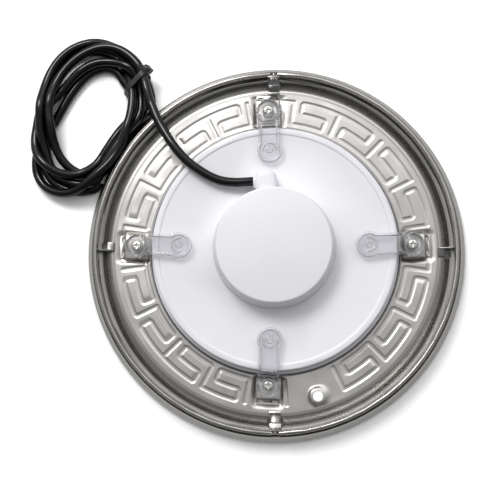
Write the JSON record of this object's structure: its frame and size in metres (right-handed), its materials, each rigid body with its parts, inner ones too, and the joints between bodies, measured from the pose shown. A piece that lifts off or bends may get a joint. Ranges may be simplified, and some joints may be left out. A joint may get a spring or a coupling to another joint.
{
  "type": "underwater pool light",
  "caption": "Flat round underwater pool light seen from its rear: stainless face ring with a pressed key pattern, white lamp held by clear swivelling clamps, coiled black cable.",
  "frame": {"origin": "on the face ring's axis, at the level of its front bead, on which the light lies face down", "axes": "+Z out of the rear of the light, +Y towards 12 o'clock as seen from the rear, +X to the right"},
  "size_m": [0.3171, 0.2955, 0.0372],
  "materials": {
    "pressed_steel": "pressed and satin polished",
    "band_steel": "rolled, satin",
    "spring_steel": "cold rolled",
    "screw_steel": "bright",
    "clear_plastic": "clear, moulded",
    "lens_plastic": "clear, moulded",
    "white_plastic": "satin white",
    "gasket_rubber": "matt",
    "board_aluminium": "white solder mask",
    "chip_yellow": "phosphor",
    "board_green": "solder mask",
    "part_black": "moulded",
    "cable_rubber": "glossy sheath",
    "tie_nylon": "nylon"
  },
  "bodies": {
    "light": {"face_ring": "pressed_steel", "snap_band": "band_steel", "locating_fin_3": "spring_steel", "locating_fin_9": "spring_steel", "clamp_seat_12": "pressed_steel", "clamp_seat_3": "pressed_steel", "clamp_seat_6": "pressed_steel", "clamp_seat_9": "pressed_steel", "clamp_screws": "screw_steel", "spring_washers": "spring_steel", "flat_washers": "screw_steel", "lens_gasket": "gasket_rubber", "front_lens": "lens_plastic", "rear_shell": "white_plastic", "junction_cap": "white_plastic", "gland_elbow": "white_plastic", "gland_seal": "gasket_rubber", "light_board": "board_aluminium", "light_chips": "chip_yellow", "board_screws": "screw_steel", "driver_board": "board_green", "driver_parts": "part_black", "driver_screws": "screw_steel", "cable": "cable_rubber", "cable_coil": "cable_rubber", "cable_tie": "tie_nylon"},
    "clamp_12": {"clamp_12": "clear_plastic"},
    "clamp_3": {"clamp_3": "clear_plastic"},
    "clamp_6": {"clamp_6": "clear_plastic"},
    "clamp_9": {"clamp_9": "clear_plastic"},
    "spring_clip_12": {"spring_clip_12": "spring_steel"},
    "spring_clip_6": {"spring_clip_6": "spring_steel"}
  },
  "joints": [
    {"name": "clamp_12_swivel", "type": "hinge", "parent": "light", "child": "clamp_12", "pos_m": [-0.004, 0.09962, 0.0119], "axis": [0, 0, 1], "continuous": true},
    {"name": "clamp_3_swivel", "type": "hinge", "parent": "light", "child": "clamp_3", "pos_m": [0.09638, 0.00185, 0.0119], "axis": [0, 0, 1], "continuous": true},
    {"name": "clamp_6_swivel", "type": "hinge", "parent": "light", "child": "clamp_6", "pos_m": [-0.0045, -0.09539, 0.0119], "axis": [0, 0, 1], "continuous": true},
    {"name": "clamp_9_swivel", "type": "hinge", "parent": "light", "child": "clamp_9", "pos_m": [-0.09717, 0.0022, 0.0119], "axis": [0, 0, 1], "continuous": true},
    {"name": "spring_clip_12_flex", "type": "hinge", "parent": "light", "child": "spring_clip_12", "pos_m": [0, 0.1259, 0.015], "axis": [1, 0, 0], "range_deg": [0, 6], "stiffness_Nm_per_rad": 0.5},
    {"name": "spring_clip_6_flex", "type": "hinge", "parent": "light", "child": "spring_clip_6", "pos_m": [0, -0.1259, 0.015], "axis": [-1, 0, 0], "range_deg": [0, 6], "stiffness_Nm_per_rad": 0.5}
  ]
}
